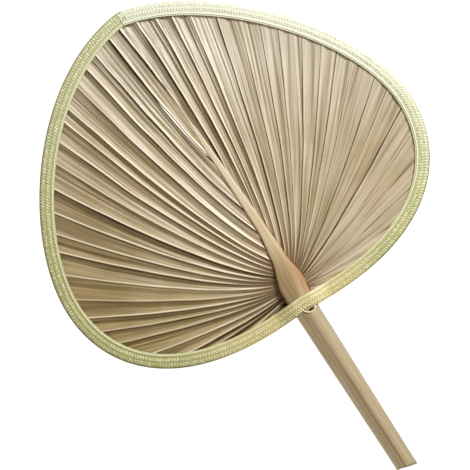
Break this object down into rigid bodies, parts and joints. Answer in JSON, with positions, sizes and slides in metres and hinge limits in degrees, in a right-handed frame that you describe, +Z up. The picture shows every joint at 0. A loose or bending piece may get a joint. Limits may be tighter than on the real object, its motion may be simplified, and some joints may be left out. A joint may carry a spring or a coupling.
{
  "type": "palm leaf fan",
  "caption": "Flat hand fan of a dried pleated palm leaf, its stalk left on as the handle and its rounded edge bound with folded woven straw tape.",
  "frame": {"origin": "on the surface the fan lies on, at the middle of its footprint", "axes": "+X across the blade, +Y along the stalk from handle to tip, +Z up out of the face that shows in the picture"},
  "size_m": [0.326, 0.4324, 0.011],
  "materials": {
    "leaf": "dried palm leaf, straw coloured, fine lengthwise fibres, slight sheen",
    "stalk": "dried palm stalk, smooth tan skin with lengthwise streaks",
    "tape": "pale yellow-green woven straw tape with a slight sheen",
    "cane": "plain split cane, unfinished"
  },
  "bodies": {
    "root": {"leaf_stalk": "stalk", "leaf_segment_01": "leaf", "leaf_segment_02": "leaf", "leaf_segment_03": "leaf", "leaf_segment_04": "leaf", "leaf_segment_05": "leaf", "leaf_segment_06": "leaf", "leaf_segment_07": "leaf", "leaf_segment_08": "leaf", "leaf_segment_09": "leaf", "leaf_segment_10": "leaf", "leaf_segment_11": "leaf", "leaf_segment_12": "leaf", "leaf_segment_13": "leaf", "leaf_segment_14": "leaf", "leaf_segment_15": "leaf", "leaf_segment_16": "leaf", "leaf_segment_17": "leaf", "leaf_segment_18": "leaf", "leaf_segment_19": "leaf", "leaf_segment_20": "leaf", "leaf_segment_21": "leaf", "leaf_segment_22": "leaf", "leaf_segment_23": "leaf", "leaf_segment_24": "leaf", "leaf_segment_25": "leaf", "leaf_segment_26": "leaf", "leaf_segment_27": "leaf", "leaf_segment_28": "leaf", "leaf_segment_29": "leaf", "leaf_segment_30": "leaf", "leaf_segment_31": "leaf", "leaf_segment_32": "leaf", "leaf_segment_33": "leaf", "leaf_segment_34": "leaf", "leaf_segment_35": "leaf", "leaf_segment_36": "leaf", "leaf_segment_37": "leaf", "leaf_segment_38": "leaf", "leaf_segment_39": "leaf", "leaf_segment_40": "leaf", "leaf_segment_41": "leaf", "leaf_segment_42": "leaf", "leaf_segment_43": "leaf", "leaf_segment_44": "leaf", "leaf_segment_45": "leaf", "leaf_segment_46": "leaf", "rim_cane": "cane", "rim_tape": "tape"}
  },
  "joints": []
}
